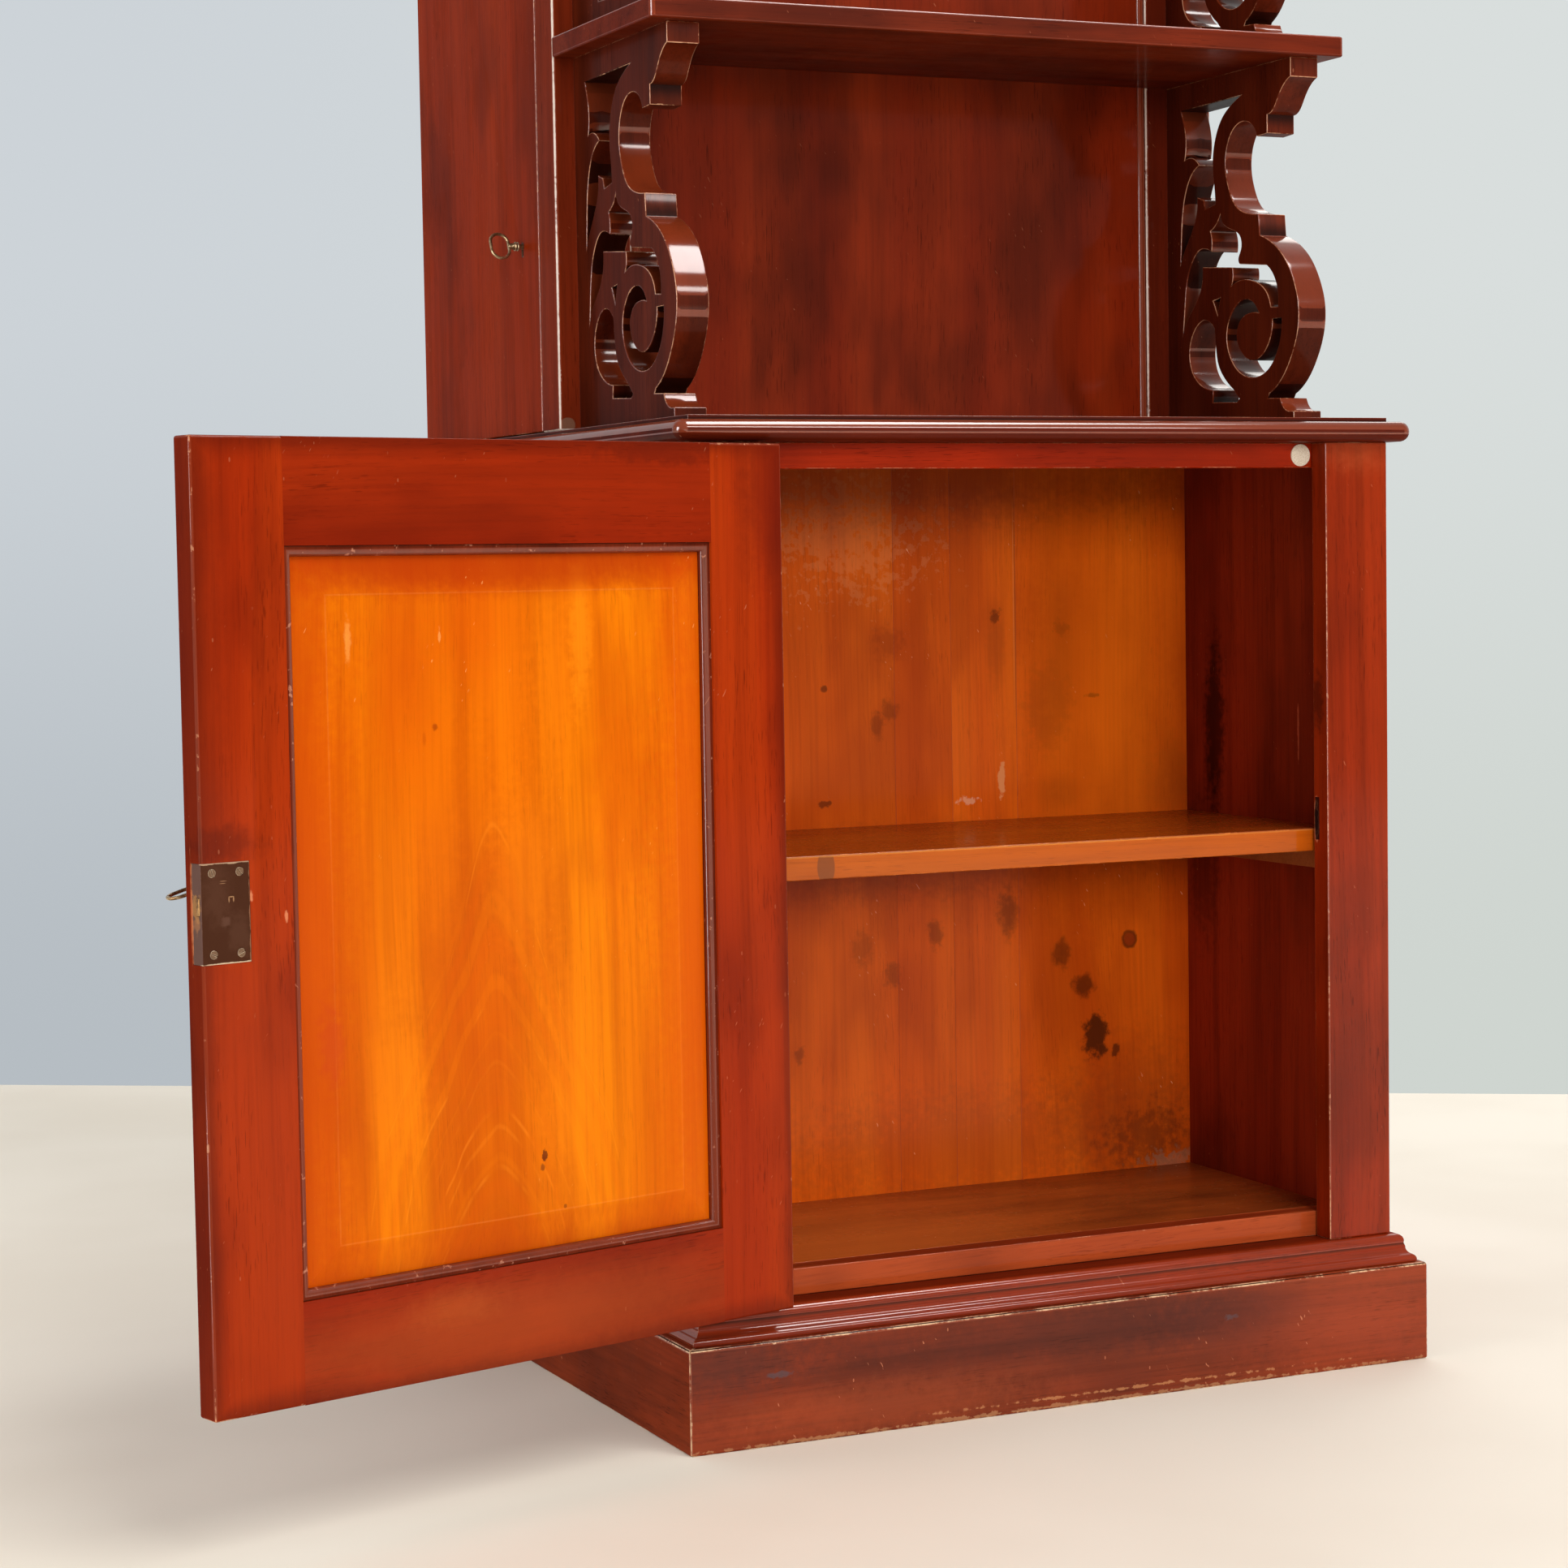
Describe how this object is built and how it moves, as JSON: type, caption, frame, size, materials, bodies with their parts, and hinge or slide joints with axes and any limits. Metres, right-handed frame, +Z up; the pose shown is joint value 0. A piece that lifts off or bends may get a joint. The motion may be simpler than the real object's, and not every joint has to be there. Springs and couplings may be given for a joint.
{
  "type": "book cabinet",
  "caption": "Narrow wooden cabinet: cupboard with one hinged door below, open display shelves on pierced scroll brackets above, and a closed rear case with hinged side doors.",
  "frame": {"origin": "underside of the plinth's front board, at the middle of its length and thickness", "axes": "+X to the right seen from the front, +Y to the back, +Z up"},
  "size_m": [1.1959, 0.852, 1.651],
  "materials": {
    "red_wood": "polished red-brown hardwood with dark straight grain and worn pale arrises",
    "inner_wood": "clear polished orange-brown wood with cathedral figure",
    "lock_metal": "dark brown tarnished brass with bright rubbed edges",
    "old_brass": "aged brass, bright on the rubbed parts",
    "felt": "short beige felt"
  },
  "bodies": {
    "cabinet": {"base_back_panel": "inner_wood", "base_moulding_front": "red_wood", "base_moulding_left": "red_wood", "base_moulding_right": "red_wood", "base_side_left": "red_wood", "base_side_right": "red_wood", "base_top": "red_wood", "bracket_lower_left": "red_wood", "bracket_lower_right": "red_wood", "bracket_upper_left": "red_wood", "bracket_upper_right": "red_wood", "cupboard_back_boards": "inner_wood", "cupboard_bottom_rail": "red_wood", "cupboard_floor": "inner_wood", "cupboard_head_rail": "red_wood", "cupboard_shelf": "inner_wood", "cupboard_shelf_battens": "inner_wood", "display_shelf_lower": "red_wood", "display_shelf_upper": "red_wood", "door_buffer": "felt", "hinge_fixed_leaves": "old_brass", "hinge_pins": "old_brass", "inner_shelf_battens": "inner_wood", "inner_shelves": "inner_wood", "pilaster_left": "red_wood", "pilaster_right": "red_wood", "plinth_back": "inner_wood", "plinth_front": "red_wood", "plinth_left": "red_wood", "plinth_right": "red_wood", "rear_posts": "inner_wood", "upper_back_panel": "inner_wood", "upper_front_panel": "red_wood", "upper_panel_beads": "red_wood", "upper_post_left": "red_wood", "upper_post_right": "red_wood", "upper_top_board": "red_wood"},
    "front_door": {"door_hinge_stile": "red_wood", "door_lock_stile": "red_wood", "door_top_rail": "red_wood", "door_bottom_rail": "red_wood", "door_panel": "inner_wood", "door_panel_beads": "red_wood", "door_hinge_leaves": "old_brass", "door_lock_case": "lock_metal", "door_lock_screws": "lock_metal", "door_escutcheon": "old_brass"},
    "front_bolt": {"door_lock_bolt": "old_brass"},
    "front_key": {"door_key": "old_brass"},
    "left_door": {"side_door_left": "red_wood", "side_door_left_hinge_leaves": "old_brass", "side_lock_left": "lock_metal"},
    "left_bolt": {"side_bolt_left": "old_brass"},
    "left_key": {"side_key_left": "old_brass"},
    "right_door": {"side_door_right": "red_wood", "side_door_right_hinge_leaves": "old_brass", "side_lock_right": "lock_metal"},
    "right_bolt": {"side_bolt_right": "old_brass"},
    "right_key": {"side_key_right": "old_brass"}
  },
  "joints": [
    {"name": "front_door_swing", "type": "hinge", "parent": "cabinet", "child": "front_door", "pos_m": [-0.27915, 0.0105, 0.47915], "axis": [0, 0, 1], "range_deg": [-10, 164.8]},
    {"name": "front_bolt_throw", "type": "slide", "parent": "front_door", "child": "front_bolt", "axis": [-0.965, -0.2622, 0], "range_m": [0, 0.007]},
    {"name": "front_key_turn", "type": "hinge", "parent": "front_door", "child": "front_key", "pos_m": [-0.79161, -0.13029, 0.5025], "axis": [-0.2622, 0.965, 0], "range_deg": [0, 180]},
    {"name": "left_door_swing", "type": "hinge", "parent": "cabinet", "child": "left_door", "pos_m": [-0.3264, 0.6895, 1.248], "axis": [0, 0, 1], "range_deg": [-180, 0]},
    {"name": "left_bolt_throw", "type": "slide", "parent": "left_door", "child": "left_bolt", "axis": [0, -1, 0], "range_m": [0, 0.007]},
    {"name": "left_key_turn", "type": "hinge", "parent": "left_door", "child": "left_key", "pos_m": [-0.346, 0.398, 1.041], "axis": [-1, 0, 0], "range_deg": [0, 180]},
    {"name": "right_door_swing", "type": "hinge", "parent": "cabinet", "child": "right_door", "pos_m": [0.3264, 0.6895, 1.248], "axis": [0, 0, 1], "range_deg": [0, 180]},
    {"name": "right_bolt_throw", "type": "slide", "parent": "right_door", "child": "right_bolt", "axis": [0, -1, 0], "range_m": [0, 0.007]},
    {"name": "right_key_turn", "type": "hinge", "parent": "right_door", "child": "right_key", "pos_m": [0.346, 0.398, 1.041], "axis": [-1, 0, 0], "range_deg": [-180, 0]}
  ],
  "couplings": [
    {"joint": "front_bolt_throw", "follows": "front_key_turn", "m_per_rad": 0.002228},
    {"joint": "left_bolt_throw", "follows": "left_key_turn", "m_per_rad": 0.002228},
    {"joint": "right_bolt_throw", "follows": "right_key_turn", "m_per_rad": -0.002228}
  ]
}
